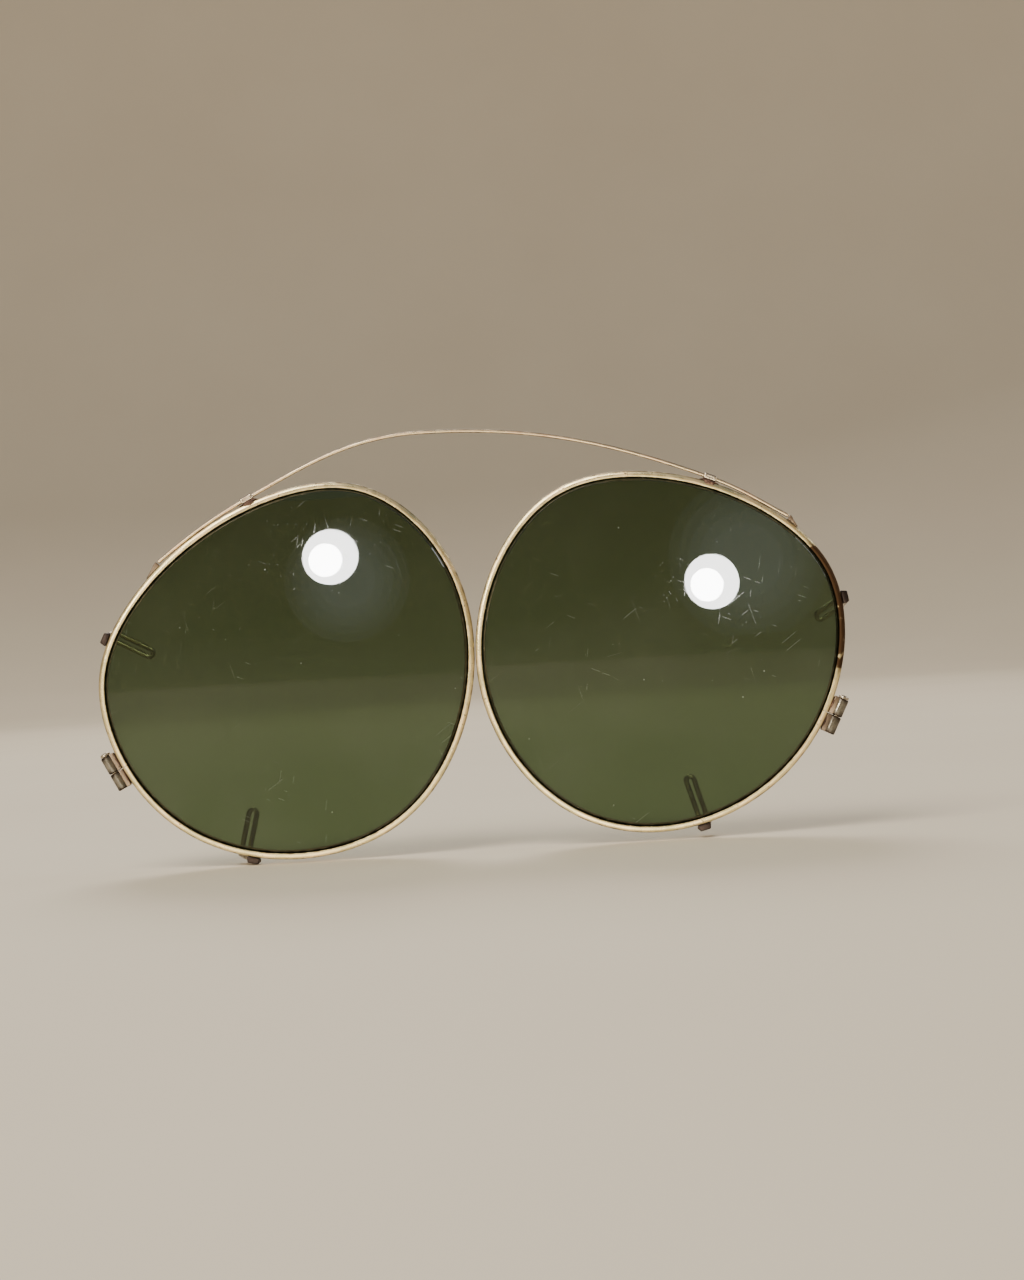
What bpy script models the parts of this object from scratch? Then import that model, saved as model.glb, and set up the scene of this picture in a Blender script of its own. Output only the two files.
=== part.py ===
"""Clip-on sunglasses: two wire-rimmed tinted lenses under one arched spring wire.

The lenses face -Y and +Z is up. The origin is midway between the two rims, on the plane
that the front of a pair of spectacles has when the clip-on sits on it. Left and right are
those of someone who looks at the lenses from the front.

An eye is modelled in a frame of its own: x to the right, y up, z towards the viewer, with
the origin on the lens. Angles round an eye are directions of the rim's outward normal: 0
points to the temple and 90 points up, on both sides.
"""

import math
from types import SimpleNamespace

import bmesh
import bpy
from mathutils import Matrix, Vector

MM = 0.001
TURN = 2 * math.pi

# Eyes. Each lobe is (how many per turn, height in mm, direction of its first peak in degrees)
# and bulges a circle into the shape of the lens.
EYES = (
    SimpleNamespace(
        name="left", side=-1, centre=(-25.55 * MM, 0.35 * MM), radius=25.85 * MM,
        lobes=((2, 1.35, 137.6), (3, 0.885, 117.9), (4, 0.21, 15.9), (5, 0.19, 18.9)),
        closing=333.3, guide=68.5, foot=48.5, guide_slope=26.5, foot_slope=37.0,
        outer_hook=SimpleNamespace(angle=26.0, skew=0.6 * MM, lean=3.0, reach=5.5 * MM),
        lower_hook=SimpleNamespace(angle=282.0, skew=1.8 * MM, lean=2.5, reach=5.8 * MM)),
    SimpleNamespace(
        name="right", side=1, centre=(25.68 * MM, 0.8 * MM), radius=25.30 * MM,
        lobes=((2, 0.30, 1.6), (3, 0.71, 10.1), (4, 0.28, 24.8), (5, 0.13, 34.1)),
        closing=332.7, guide=70.2, foot=50.9, guide_slope=23.0, foot_slope=31.0,
        outer_hook=SimpleNamespace(angle=8.7, skew=-0.6 * MM, lean=22.0, reach=3.3 * MM),
        lower_hook=SimpleNamespace(angle=284.0, skew=0.5 * MM, lean=2.0, reach=6.2 * MM)),
)

LENS_BASE_RADIUS = 88.0 * MM        # sphere that lens and rim are curved to
LENS_THICKNESS = 1.7 * MM
LENS_APEX_Y = -4.5 * MM             # the middle of each lens stands this far in front of the origin
LENS_NOSE_INSET = 0.17 * MM         # from the rim's centre line in to the lens's pointed edge
LENS_EDGE_BEVEL = 0.75 * MM
LENS_RINGS = 5

RIM_FACE = 0.85 * MM                # width seen from the front
RIM_DEPTH = 1.5 * MM                # front to back
RIM_CHAMFER = 0.16 * MM
GROOVE_FLOOR = 0.12 * MM            # half width of the groove's floor, and its inset from the centre line
GROOVE_MOUTH = 0.45 * MM            # half width of the groove where it opens

OUTLINE_STEPS = 84
SOLDER_GAP = 0.05 * MM              # left between pieces that are soldered or seated together

SLIT = 0.3 * MM                     # between the two halves of a closing
BARREL_RADIUS = 0.82 * MM
BARREL_BORE_RADIUS = 0.50 * MM
BARREL_LENGTH = 2.45 * MM
BARREL_OFFSET = 1.7 * MM            # from the rim's centre line to the barrel's axis
BARREL_FOOT_DEPTH = 1.1 * MM

SCREW_SHANK_RADIUS = 0.43 * MM
SCREW_HEAD_RADIUS = 0.72 * MM
SCREW_HEAD_HEIGHT = 0.45 * MM
SCREW_CHAMFER = 0.18 * MM           # taken off the head's edge and off the tip's
SCREW_SLOT_WIDTH = 0.22 * MM
SCREW_SLOT_DEPTH = 0.2 * MM

WIRE_RADIUS = 0.25 * MM
WIRE_OFFSET = 1.1 * MM              # from a rim's centre line to the wire in its guide
WIRE_END_OFFSET = 0.95 * MM         # the same at the wire's end
WIRE_CROWN = (-5.5 * MM, 33.0 * MM)  # X and Z of the arch's highest point
WIRE_TENSION = 1.12                 # how long the arch keeps its direction beyond each knot

SLEEVE_SIZE = (1.9 * MM, 0.8 * MM, 1.15 * MM)
SLEEVE_BORE = 0.6 * MM
SLEEVE_ROUND = 0.14 * MM
PAD_SPREAD = 1.1 * MM               # half length of the solder pad under a sleeve
PAD_DEPTH = 1.2 * MM
FOOT_DEPTH = 0.9 * MM
FOOT_PROFILE = (                    # down the rim from the wire's end, and height over the centre line
    (0.0, WIRE_END_OFFSET + WIRE_RADIUS),
    (0.7 * MM, 0.9 * MM),
    (1.6 * MM, RIM_FACE / 2 + 0.15 * MM),
)

HOOK_WIRE_RADIUS = 0.32 * MM
HOOK_HALF_SPACING = 0.62 * MM       # from a hook's middle to each of its two strands
HOOK_CLEARANCE = 4.5 * MM           # from the rim's back to the hook, for the spectacles' own rim
HOOK_BEND_RADIUS = 0.9 * MM
TAB_SIZE = (0.9 * MM, 1.9 * MM, 1.3 * MM)
TAB_ROUND = 0.15 * MM

# Where each eye turns as the spring wire flattens: X and Z of the middle of each half of the arch.
PIVOTS = {"left": (-18.0 * MM, 31.0 * MM), "right": (17.0 * MM, 30.6 * MM)}

COLOURS = {
    "gold": ((0.80, 0.66, 0.44, 1.0), 0.25, 1.0),
    "closing": ((0.50, 0.43, 0.35, 1.0), 0.35, 1.0),
    "solder": ((0.20, 0.13, 0.10, 1.0), 0.50, 1.0),
    "hook": ((0.30, 0.24, 0.17, 1.0), 0.35, 1.0),
    "screw": ((0.55, 0.50, 0.42, 1.0), 0.30, 1.0),
    "glass": ((0.09, 0.14, 0.05, 0.6), 0.05, 0.0),
}


# ---------------------------------------------------------------- scene helpers

def clear_scene():
    for item in list(bpy.data.objects):
        bpy.data.objects.remove(item, do_unlink=True)


def new_collection(name, is_cutters=False):
    collection = bpy.data.collections.new(name)
    bpy.context.scene.collection.children.link(collection)
    collection.hide_render = is_cutters
    return collection


def make_material(name):
    colour, roughness, metallic = COLOURS[name]
    material = bpy.data.materials.new(name)
    material.use_nodes = True
    material.diffuse_color = colour
    shader = material.node_tree.nodes["Principled BSDF"]
    shader.inputs["Base Color"].default_value = colour
    shader.inputs["Roughness"].default_value = roughness
    shader.inputs["Metallic"].default_value = metallic
    shader.inputs["Alpha"].default_value = colour[3]
    return material


def place(item, parent, matrix):
    """Parents item to an empty and puts it at matrix in the world."""
    item.parent = parent
    item.matrix_parent_inverse = Matrix()
    item.matrix_basis = parent.matrix_world.inverted() @ matrix


def new_part(name, data, material, parent, matrix):
    part = bpy.data.objects.new(name, data)
    PARTS.objects.link(part)
    data.materials.append(material)
    place(part, parent, matrix)
    return part


def new_cutter(name, mesh, matrix):
    cutter = bpy.data.objects.new(name, mesh)
    CUTTERS.objects.link(cutter)
    cutter.matrix_world = matrix
    cutter.hide_render = True
    cutter.display_type = "WIRE"
    return cutter


def add_boolean(part, cutter, operation):
    modifier = part.modifiers.new(cutter.name, "BOOLEAN")
    modifier.operation = operation
    modifier.solver = "EXACT"
    modifier.object = cutter


def add_bevel(part, width, segments=2):
    modifier = part.modifiers.new("rounding", "BEVEL")
    modifier.width = width
    modifier.segments = segments
    modifier.limit_method = "ANGLE"


def smooth(mesh, degrees=35):
    mesh.shade_smooth()
    mesh.set_sharp_from_angle(angle=math.radians(degrees))


# ---------------------------------------------------------------- basic shapes

def box_mesh(name, size):
    shape = bmesh.new()
    bmesh.ops.create_cube(shape, size=1.0)
    bmesh.ops.scale(shape, vec=size, verts=shape.verts)
    return finished_mesh(name, shape)


def cylinder_mesh(name, radius, length, segments=24):
    """A cylinder along its local y."""
    shape = bmesh.new()
    bmesh.ops.create_cone(shape, cap_ends=True, segments=segments, radius1=radius,
                          radius2=radius, depth=length,
                          matrix=Matrix.Rotation(math.pi / 2, 4, "X"))
    return finished_mesh(name, shape)


def finished_mesh(name, shape):
    mesh = bpy.data.meshes.new(name)
    shape.to_mesh(mesh)
    shape.free()
    smooth(mesh)
    return mesh


def plate_curve(name, corners, depth):
    """A flat outline in the local xy plane, extruded to a depth along z."""
    curve = bpy.data.curves.new(name, "CURVE")
    curve.dimensions = "2D"
    curve.fill_mode = "BOTH"
    curve.extrude = depth / 2
    add_polyline(curve, [(corner.x, corner.y, 0.0) for corner in corners], cyclic=True)
    return curve


def wire_curve(name, points, radius, resolution=2):
    curve = bpy.data.curves.new(name, "CURVE")
    curve.dimensions = "3D"
    curve.bevel_depth = radius
    curve.bevel_resolution = resolution
    curve.use_fill_caps = True
    add_polyline(curve, points, cyclic=False)
    return curve


def add_polyline(curve, points, cyclic):
    spline = curve.splines.new("POLY")
    spline.points.add(len(points) - 1)
    for target, point in zip(spline.points, points):
        target.co = (*point, 1.0)
    spline.use_cyclic_u = cyclic


def arc_points(centre, start, end, swing, steps):
    """Points from centre + start towards centre + end, which are at right angles."""
    turns = [swing * k / steps for k in range(steps + 1)]
    return [centre + start * math.cos(t) + end * math.sin(t) for t in turns]


# ---------------------------------------------------------------- outline of an eye

def outline_point(eye, angle, outset=0.0):
    """The rim's centre line where its normal is at angle, moved outset along the normal."""
    reach = eye.radius + outset
    slide = 0.0
    for order, height, peak in eye.lobes:
        phase = order * (angle - math.radians(peak))
        reach += height * MM * math.cos(phase)
        slide -= order * height * MM * math.sin(phase)
    out = reach * math.cos(angle) - slide * math.sin(angle)
    up = reach * math.sin(angle) + slide * math.cos(angle)
    return Vector((eye.side * out, up, 0.0))


def outline_points(eye, first, last, steps, outset=0.0):
    """Points of the outline, anticlockwise as seen from the front."""
    turns = [first + (last - first) * k / steps for k in range(steps + 1)]
    points = [outline_point(eye, angle, outset) for angle in turns]
    return points if eye.side > 0 else points[::-1]


def normal_direction(eye, angle):
    """The outward normal's direction, anticlockwise from the eye frame's x."""
    return angle if eye.side > 0 else math.pi - angle


def dish(x, y):
    """How far the curved lens and rim stand back at a point, as a z in the eye's frame."""
    return -(x * x + y * y) / (2 * LENS_BASE_RADIUS)


def dish_mesh(mesh):
    for vertex in mesh.vertices:
        vertex.co.z += dish(vertex.co.x, vertex.co.y)


def eye_matrix(eye):
    place_in_world = Matrix.Translation((eye.centre[0], LENS_APEX_Y, eye.centre[1]))
    return place_in_world @ Matrix.Rotation(math.pi / 2, 4, "X")


def rim_matrix(eye, degrees, turn=0.0):
    """A frame on the rim's centre line: x outwards, y along the rim, z to the front."""
    angle = math.radians(degrees)
    point = outline_point(eye, angle)
    point.z = dish(point.x, point.y)
    direction = normal_direction(eye, angle) + turn
    return eye_matrix(eye) @ Matrix.Translation(point) @ Matrix.Rotation(direction, 4, "Z")


# ---------------------------------------------------------------- rims and lenses

def rim_section():
    """Half of the rim's section, mirrored front to back: a bar with a V groove inside."""
    half_face = RIM_FACE / 2
    half_depth = RIM_DEPTH / 2
    front = [
        (half_face, half_depth - RIM_CHAMFER),
        (half_face - RIM_CHAMFER, half_depth),
        (-half_face + RIM_CHAMFER, half_depth),
        (-half_face, half_depth - RIM_CHAMFER),
        (-half_face, GROOVE_MOUTH),
        (-GROOVE_FLOOR, GROOVE_FLOOR),
    ]
    return front + [(x, -y) for x, y in reversed(front)]


def make_rim(eye, parent, material):
    """The eyewire: one grooved bar round the lens, open at the closing."""
    profile = bpy.data.curves.new(f"{eye.name}_rim_section", "CURVE")
    profile.dimensions = "2D"
    add_polyline(profile, [(x, y, 0.0) for x, y in rim_section()], cyclic=True)
    guide = bpy.data.objects.new(profile.name, profile)
    CUTTERS.objects.link(guide)
    guide.hide_render = True

    opening = SLIT / 2 / eye.radius
    start = math.radians(eye.closing) + opening
    path = bpy.data.curves.new(f"{eye.name}_rim_path", "CURVE")
    path.dimensions = "3D"
    path.twist_mode = "Z_UP"
    path.bevel_mode = "OBJECT"
    path.bevel_object = guide
    path.use_fill_caps = True
    add_polyline(path, outline_points(eye, start, start + TURN - 2 * opening, OUTLINE_STEPS), False)

    swept = bpy.data.objects.new(path.name, path)
    PARTS.objects.link(swept)
    bpy.context.view_layer.update()
    evaluated = swept.evaluated_get(bpy.context.evaluated_depsgraph_get())
    mesh = bpy.data.meshes.new_from_object(evaluated)
    bpy.data.objects.remove(swept)
    shape = bmesh.new()
    shape.from_mesh(mesh)
    bmesh.ops.remove_doubles(shape, verts=shape.verts, dist=0.001 * MM)
    bmesh.ops.recalc_face_normals(shape, faces=shape.faces)
    shape.to_mesh(mesh)
    shape.free()
    dish_mesh(mesh)
    smooth(mesh)
    mesh.materials.clear()
    new_part(f"{eye.name}_rim", mesh, material, parent, eye_matrix(eye))


def make_lens(eye, parent, material):
    """A plate cut to the rim's groove, its edge bevelled to a nose, then dished."""
    angles = [TURN * k / OUTLINE_STEPS for k in range(OUTLINE_STEPS)]
    edge = [outline_point(eye, angle, -LENS_NOSE_INSET) for angle in angles]
    shape = bmesh.new()
    loops = []
    for ring in range(1, LENS_RINGS + 1):
        verts = [shape.verts.new(point * ring / LENS_RINGS) for point in edge]
        pairs = zip(verts, verts[1:] + verts[:1])
        loops.append([shape.edges.new(pair) for pair in pairs])
    for inner, outer in zip(loops, loops[1:]):
        bmesh.ops.bridge_loops(shape, edges=inner + outer)
    bmesh.ops.triangle_fill(shape, use_beauty=True, edges=loops[0])
    bmesh.ops.recalc_face_normals(shape, faces=shape.faces)
    bmesh.ops.solidify(shape, geom=shape.faces[:], thickness=LENS_THICKNESS)
    middle = (max(v.co.z for v in shape.verts) + min(v.co.z for v in shape.verts)) / 2
    bmesh.ops.translate(shape, verts=shape.verts, vec=(0.0, 0.0, -middle))
    corners = [e for e in shape.edges if e.is_manifold and e.calc_face_angle() > 1.0]
    bmesh.ops.bevel(shape, geom=corners, offset=LENS_EDGE_BEVEL, offset_type="OFFSET",
                    segments=1, profile=0.5, affect="EDGES")
    bmesh.ops.recalc_face_normals(shape, faces=shape.faces)
    mesh = finished_mesh(f"{eye.name}_lens", shape)
    dish_mesh(mesh)
    new_part(f"{eye.name}_lens", mesh, material, parent, eye_matrix(eye))


# ---------------------------------------------------------------- closings

def make_closing_half(eye, label, parent, material):
    """Half of the closing: a bored barrel on a foot that is soldered to one end of the rim."""
    name = f"{eye.name}_closing_{label}"
    along = eye.side * (1 if label == "upper" else -1) * (SLIT + BARREL_LENGTH) / 2
    frame = rim_matrix(eye, eye.closing)
    inner = RIM_FACE / 2 + SOLDER_GAP
    foot_size = (BARREL_OFFSET - inner, BARREL_LENGTH, BARREL_FOOT_DEPTH)
    foot_at = frame @ Matrix.Translation(((BARREL_OFFSET + inner) / 2, along, 0.0))
    barrel_at = frame @ Matrix.Translation((BARREL_OFFSET, along, 0.0))
    part = new_part(name, box_mesh(name, foot_size), material, parent, foot_at)
    barrel = cylinder_mesh(f"{name}_barrel", BARREL_RADIUS, BARREL_LENGTH * 1.001)
    bore = cylinder_mesh(f"{name}_bore", BARREL_BORE_RADIUS, BARREL_LENGTH * 2)
    add_boolean(part, new_cutter(barrel.name, barrel, barrel_at), "UNION")
    add_boolean(part, new_cutter(bore.name, bore, barrel_at), "DIFFERENCE")


def make_closing_screw(eye, parent, material):
    """The screw that clamps the two halves, its slotted head on the upper one."""
    name = f"{eye.name}_closing_screw"
    top = SLIT / 2 + BARREL_LENGTH + SOLDER_GAP
    tip = -SLIT / 2 - BARREL_LENGTH
    profile = [
        (0.0, top + SCREW_HEAD_HEIGHT),
        (SCREW_HEAD_RADIUS - SCREW_CHAMFER, top + SCREW_HEAD_HEIGHT),
        (SCREW_HEAD_RADIUS, top + SCREW_HEAD_HEIGHT - SCREW_CHAMFER),
        (SCREW_HEAD_RADIUS, top),
        (SCREW_SHANK_RADIUS, top),
        (SCREW_SHANK_RADIUS, tip + SCREW_CHAMFER),
        (SCREW_SHANK_RADIUS - SCREW_CHAMFER, tip),
        (0.0, tip),
    ]
    mesh = bpy.data.meshes.new(name)
    edges = [(k, k + 1) for k in range(len(profile) - 1)]
    mesh.from_pydata([(x, 0.0, z) for x, z in profile], edges, [])
    up_the_rim = Matrix.Rotation(-eye.side * math.pi / 2, 4, "X")
    at = rim_matrix(eye, eye.closing) @ Matrix.Translation((BARREL_OFFSET, 0.0, 0.0)) @ up_the_rim
    part = new_part(name, mesh, material, parent, at)
    turn = part.modifiers.new("turned", "SCREW")
    turn.steps = turn.render_steps = 20
    turn.use_merge_vertices = True
    turn.merge_threshold = 0.001 * MM
    slot = box_mesh(f"{name}_slot", (4 * SCREW_HEAD_RADIUS, SCREW_SLOT_WIDTH, 2 * SCREW_SLOT_DEPTH))
    slot_at = at @ Matrix.Translation((0.0, 0.0, top + SCREW_HEAD_HEIGHT))
    add_boolean(part, new_cutter(slot.name, slot, slot_at), "DIFFERENCE")


# ---------------------------------------------------------------- spring wire and its seats

def wire_knot(eye, degrees, outset, slope):
    """A point of the spring wire over the rim, and its direction towards +X, both in X and Z."""
    point = outline_point(eye, math.radians(degrees), outset)
    at = Vector((eye.centre[0] + point.x, eye.centre[1] + point.y))
    rise = math.radians(-eye.side * slope)
    return at, Vector((math.cos(rise), math.sin(rise)))


def wire_knots():
    left, right = EYES
    return [
        wire_knot(left, left.foot, WIRE_END_OFFSET, left.foot_slope),
        wire_knot(left, left.guide, WIRE_OFFSET, left.guide_slope),
        (Vector(WIRE_CROWN), Vector((1.0, 0.0))),
        wire_knot(right, right.guide, WIRE_OFFSET, right.guide_slope),
        wire_knot(right, right.foot, WIRE_END_OFFSET, right.foot_slope),
    ]


def wire_path():
    """Smooth curve through the knots, as X and Z."""
    knots = wire_knots()
    points = []
    for (start, leave), (end, arrive) in zip(knots, knots[1:]):
        chord = (end - start).length
        pull = WIRE_TENSION * chord
        steps = max(4, round(chord / (1.6 * MM)))
        for k in range(steps):
            t = k / steps
            points.append(
                (1 + 2 * t) * (1 - t) ** 2 * start + t * (1 - t) ** 2 * pull * leave
                + t * t * (3 - 2 * t) * end - t * t * (1 - t) * pull * arrive)
    return points + [knots[-1][0]]


def wire_y():
    """The wire lies in one plane, level with the rims' middle under its guides."""
    seats = [outline_point(eye, math.radians(eye.guide)) for eye in EYES]
    depths = [dish(seat.x, seat.y) for seat in seats]
    return LENS_APEX_Y - sum(depths) / len(depths)


def make_spring_wire(parent, material):
    points = [(point.x, wire_y(), point.y) for point in wire_path()]
    curve = wire_curve("bridge_spring_wire", points, WIRE_RADIUS)
    new_part("bridge_spring_wire", curve, material, parent, Matrix())


def sleeve_matrix(eye):
    """At the wire in its guide: x along the wire, y up, z to the front."""
    at, along = wire_knot(eye, eye.guide, WIRE_OFFSET, eye.guide_slope)
    rise = math.atan2(along.y, along.x)
    upright = Matrix.Translation((at.x, wire_y(), at.y)) @ Matrix.Rotation(math.pi / 2, 4, "X")
    return upright @ Matrix.Rotation(rise, 4, "Z")


def wire_plane_matrix(eye):
    """The eye's frame, moved along its z into the plane of the wire."""
    return eye_matrix(eye) @ Matrix.Translation((0.0, 0.0, LENS_APEX_Y - wire_y()))


def make_sleeve(eye, parent, material):
    """The small square sleeve that guides the wire over the rim."""
    name = f"{eye.name}_wire_sleeve"
    at = sleeve_matrix(eye)
    part = new_part(name, box_mesh(name, SLEEVE_SIZE), material, parent, at)
    add_bevel(part, SLEEVE_ROUND)
    bore = box_mesh(f"{name}_bore", (2 * SLEEVE_SIZE[0], SLEEVE_BORE, SLEEVE_BORE))
    add_boolean(part, new_cutter(bore.name, bore, at), "DIFFERENCE")


def rim_face_points(eye, degrees, spread):
    """Points just clear of the rim's outer face, spread either side of an angle."""
    outset = RIM_FACE / 2 + SOLDER_GAP
    step = spread / eye.radius
    angle = math.radians(degrees)
    return [outline_point(eye, angle + k * step, outset) for k in (-1.0, -0.5, 0.0, 0.5, 1.0)]


def make_sleeve_pad(eye, parent, material):
    """The solder pad that fills the wedge between a sleeve and the rim."""
    name = f"{eye.name}_sleeve_pad"
    to_eye = eye_matrix(eye).inverted() @ sleeve_matrix(eye)
    under = -SLEEVE_SIZE[1] / 2 - SOLDER_GAP
    half = SLEEVE_SIZE[0] / 2
    tops = [to_eye @ Vector((x, under, 0.0)) for x in (-half * eye.side, half * eye.side)]
    outline = rim_face_points(eye, eye.guide, PAD_SPREAD) + tops
    new_part(name, plate_curve(name, outline, PAD_DEPTH), material, parent, wire_plane_matrix(eye))


def make_wire_foot(eye, parent, material):
    """The foot that holds the wire's end: a wedge on the rim, just beyond the end."""
    name = f"{eye.name}_wire_foot"
    near = math.radians(eye.foot) - 2 * SOLDER_GAP / eye.radius
    seat = [(along, RIM_FACE / 2 + SOLDER_GAP) for along, _ in reversed(FOOT_PROFILE)]
    outline = [outline_point(eye, near - along / eye.radius, outset)
               for along, outset in [*FOOT_PROFILE, *seat]]
    new_part(name, plate_curve(name, outline, FOOT_DEPTH), material, parent, wire_plane_matrix(eye))


# ---------------------------------------------------------------- hooks

def make_hook_tab(eye, label, hook, parent, material):
    """The block soldered outside the rim that carries a hook."""
    name = f"{eye.name}_{label}_hook_tab"
    outset = RIM_FACE / 2 + SOLDER_GAP + TAB_SIZE[0] / 2
    at = rim_matrix(eye, hook.angle) @ Matrix.Translation((outset, 0.0, 0.0))
    part = new_part(name, box_mesh(name, TAB_SIZE), material, parent, at)
    add_bevel(part, TAB_ROUND)


def hook_strand(hook, side):
    """One strand of a hook: back from the tab, round a bend and inwards to the tip's turn."""
    outset = RIM_FACE / 2 + SOLDER_GAP + TAB_SIZE[0] / 2
    start_z = -TAB_SIZE[2] / 2 - SOLDER_GAP
    end_z = -RIM_DEPTH / 2 - HOOK_CLEARANCE - HOOK_WIRE_RADIUS
    lean = math.radians(hook.lean) * side
    inwards = Vector((-math.cos(lean), -math.sin(lean), 0.0))
    across = Vector((-inwards.y, inwards.x, 0.0))
    skew = Vector((0.0, hook.skew * side, 0.0))
    root = Vector((outset, 0.0, start_z))
    bend_top = Vector((outset, 0.0, end_z + HOOK_BEND_RADIUS)) + skew
    centre = bend_top + inwards * HOOK_BEND_RADIUS
    back = Vector((0.0, 0.0, -HOOK_BEND_RADIUS))
    bend = arc_points(centre, -inwards * HOOK_BEND_RADIUS, back, math.pi / 2, 4)
    run = hook.reach + outset - HOOK_BEND_RADIUS - HOOK_HALF_SPACING
    tip_centre = centre + back + inwards * run
    return root, bend, tip_centre, inwards, across


def make_hook(eye, label, hook, parent, material):
    """A hairpin of wire: two strands side by side, joined by a round turn at the tip."""
    name = f"{eye.name}_{label}_hook"
    root, bend, tip_centre, inwards, across = hook_strand(hook, eye.side)
    offset = across * HOOK_HALF_SPACING
    first = [root + offset] + [point + offset for point in bend]
    second = [point - offset for point in reversed(bend)] + [root - offset]
    turn = arc_points(tip_centre, offset, inwards * HOOK_HALF_SPACING, math.pi, 8)
    curve = wire_curve(name, first + turn + second, HOOK_WIRE_RADIUS)
    new_part(name, curve, material, parent, rim_matrix(eye, hook.angle))


# ---------------------------------------------------------------- assembly

def new_axis(name, x, z):
    """An empty on a joint axis, or on the origin for what stays still."""
    axis = bpy.data.objects.new(name, None)
    PARTS.objects.link(axis)
    axis.location = (x, wire_y(), z)
    return axis


def make_eye(eye, materials):
    axis = new_axis(f"{eye.name}_eye_axis", *PIVOTS[eye.name])
    bpy.context.view_layer.update()
    make_rim(eye, axis, materials["gold"])
    make_lens(eye, axis, materials["glass"])
    for label in ("upper", "lower"):
        make_closing_half(eye, label, axis, materials["closing"])
    make_closing_screw(eye, axis, materials["screw"])
    make_sleeve(eye, axis, materials["gold"])
    make_sleeve_pad(eye, axis, materials["solder"])
    make_wire_foot(eye, axis, materials["gold"])
    for label, hook in (("outer", eye.outer_hook), ("lower", eye.lower_hook)):
        make_hook_tab(eye, label, hook, axis, materials["solder"])
        make_hook(eye, label, hook, axis, materials["hook"])


clear_scene()
PARTS = new_collection("clip_on_sunglasses")
CUTTERS = new_collection("cutters", is_cutters=True)
MATERIALS = {name: make_material(name) for name in COLOURS}
BRIDGE = new_axis("bridge_middle", 0.0, 0.0)
bpy.context.view_layer.update()
make_spring_wire(BRIDGE, MATERIALS["gold"])
for each_eye in EYES:
    make_eye(each_eye, MATERIALS)
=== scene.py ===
"""Looks of the clip-on sunglasses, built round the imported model.

Lengths are in metres. The lenses face -Y and +Z is up. Each eye is modelled in a frame of its
own, as in the CAD model: x to the right, y up, z towards the viewer, with the origin on the
lens. Angles round an eye are directions of the rim's outward normal: 0 points to the temple and
90 points up, on both sides.
"""

import math
from types import SimpleNamespace

import bmesh
import bpy
from mathutils import Matrix, Vector, noise


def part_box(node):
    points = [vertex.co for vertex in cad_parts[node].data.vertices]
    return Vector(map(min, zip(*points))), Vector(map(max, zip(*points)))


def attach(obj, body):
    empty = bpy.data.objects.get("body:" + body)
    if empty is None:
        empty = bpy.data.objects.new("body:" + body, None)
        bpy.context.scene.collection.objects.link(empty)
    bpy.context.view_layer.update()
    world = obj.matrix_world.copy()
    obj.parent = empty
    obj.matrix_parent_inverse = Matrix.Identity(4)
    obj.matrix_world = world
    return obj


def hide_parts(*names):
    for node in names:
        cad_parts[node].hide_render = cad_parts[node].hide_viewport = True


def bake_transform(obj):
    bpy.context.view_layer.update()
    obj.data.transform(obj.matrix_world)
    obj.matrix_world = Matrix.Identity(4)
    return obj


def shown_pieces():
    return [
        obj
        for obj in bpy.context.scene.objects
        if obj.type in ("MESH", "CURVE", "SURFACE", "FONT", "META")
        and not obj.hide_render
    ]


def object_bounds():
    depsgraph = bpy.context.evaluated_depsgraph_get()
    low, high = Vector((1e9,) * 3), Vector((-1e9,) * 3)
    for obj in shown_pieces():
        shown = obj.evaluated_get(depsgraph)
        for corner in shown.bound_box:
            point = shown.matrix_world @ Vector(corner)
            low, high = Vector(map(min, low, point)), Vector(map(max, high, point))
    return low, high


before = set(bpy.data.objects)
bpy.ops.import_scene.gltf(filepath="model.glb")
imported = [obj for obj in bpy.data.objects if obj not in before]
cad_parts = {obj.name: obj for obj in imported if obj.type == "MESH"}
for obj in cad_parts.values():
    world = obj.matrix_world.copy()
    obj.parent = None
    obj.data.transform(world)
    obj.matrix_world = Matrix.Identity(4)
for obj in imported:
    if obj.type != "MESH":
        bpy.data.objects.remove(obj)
CAD_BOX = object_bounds()

MM = 0.001
TURN = 2 * math.pi
SCENE = bpy.context.scene

# The eyes, as in the CAD model. A lobe is (how many per turn, height in mm, first peak in degrees).
# The rim's arc of painted shade, which stands in for a dark reflection, is (middle, half its length), in
# degrees.
EYES = (
    SimpleNamespace(
        name="left", side=-1, centre=(-25.55 * MM, 0.35 * MM), radius=25.85 * MM,
        lobes=((2, 1.35, 137.6), (3, 0.885, 117.9), (4, 0.21, 15.9), (5, 0.19, 18.9)),
        closing=333.3, guide=68.5, foot=48.5, guide_slope=26.5, foot_slope=37.0, painted_shade_arc=(0.0, 0.0),
        outer_hook=SimpleNamespace(angle=26.0, skew=0.6 * MM, lean=3.0, reach=5.5 * MM),
        lower_hook=SimpleNamespace(angle=282.0, skew=1.8 * MM, lean=2.5, reach=5.8 * MM)),
    SimpleNamespace(
        name="right", side=1, centre=(25.68 * MM, 0.8 * MM), radius=25.30 * MM,
        lobes=((2, 0.30, 1.6), (3, 0.71, 10.1), (4, 0.28, 24.8), (5, 0.13, 34.1)),
        closing=332.7, guide=70.2, foot=50.9, guide_slope=23.0, foot_slope=31.0, painted_shade_arc=(12.5, 31.0),
        outer_hook=SimpleNamespace(angle=8.7, skew=-0.6 * MM, lean=22.0, reach=3.3 * MM),
        lower_hook=SimpleNamespace(angle=284.0, skew=0.5 * MM, lean=2.0, reach=6.2 * MM)),
)

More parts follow.
